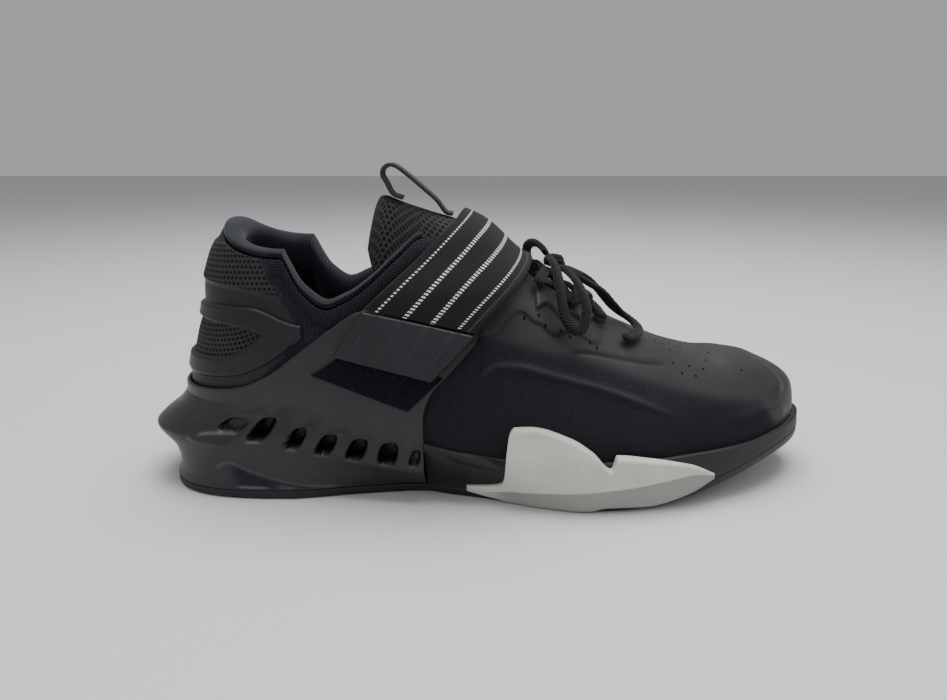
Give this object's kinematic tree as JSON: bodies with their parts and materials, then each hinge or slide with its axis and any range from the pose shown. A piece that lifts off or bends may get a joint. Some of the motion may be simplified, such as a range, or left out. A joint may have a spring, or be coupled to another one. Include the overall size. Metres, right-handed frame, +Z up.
{
  "type": "weightlifting shoe",
  "caption": "Right weightlifting shoe with raised moulded heel, wide instep strap, lacing and a pale rubber flange on its outer forefoot.",
  "frame": {"origin": "centre of the bounding box, on the floor under the sole", "axes": "+X from the heel to the toe, +Y to the inner side of the foot, +Z up"},
  "size_m": [0.3055, 0.1086, 0.1419],
  "materials": {
    "black_rubber": "matt",
    "pale_rubber": "matt, speckled",
    "foam": "matt",
    "frame_plastic": "satin",
    "textile": "woven",
    "knit": "knitted",
    "webbing": "woven",
    "overlay": "satin",
    "lace": "braided"
  },
  "bodies": {
    "root": {"outsole": "black_rubber", "heel_frame": "frame_plastic", "midsole": "foam", "upper": "textile", "insole": "knit", "collar": "knit", "tongue": "textile", "heel_counter": "overlay", "forefoot_wrap": "pale_rubber", "hook_patch": "webbing", "strap_tab": "overlay", "strap": "webbing", "pull_loop": "webbing", "eyestay_outer": "overlay", "eyestay_inner": "overlay", "lace_crossings": "lace", "lace_knot": "lace", "lace_loop_outer": "lace", "lace_loop_inner": "lace", "lace_end_outer": "lace", "lace_end_inner": "lace"}
  },
  "joints": []
}
